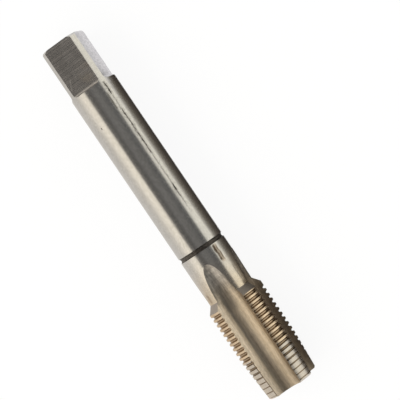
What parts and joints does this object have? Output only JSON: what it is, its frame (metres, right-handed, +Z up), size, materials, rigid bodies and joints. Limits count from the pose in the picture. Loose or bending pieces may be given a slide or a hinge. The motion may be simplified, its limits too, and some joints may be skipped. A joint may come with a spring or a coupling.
{
  "type": "thread tap",
  "caption": "Hand tap for cutting an internal metric thread: square drive end, plain round shank with a ring groove, and a straight-fluted threaded end with a tapered lead.",
  "frame": {"origin": "centre of the drive-end face, on the tap's axis", "axes": "+X along the axis from the drive end to the cutting end, +Z up, square to a flat of the drive square"},
  "size_m": [0.09, 0.0126, 0.0126],
  "materials": {
    "tool_steel": "ground and polished tool steel, satin in the flutes, matte on the thread"
  },
  "bodies": {
    "root": {"hand_tap": "tool_steel"}
  },
  "joints": []
}
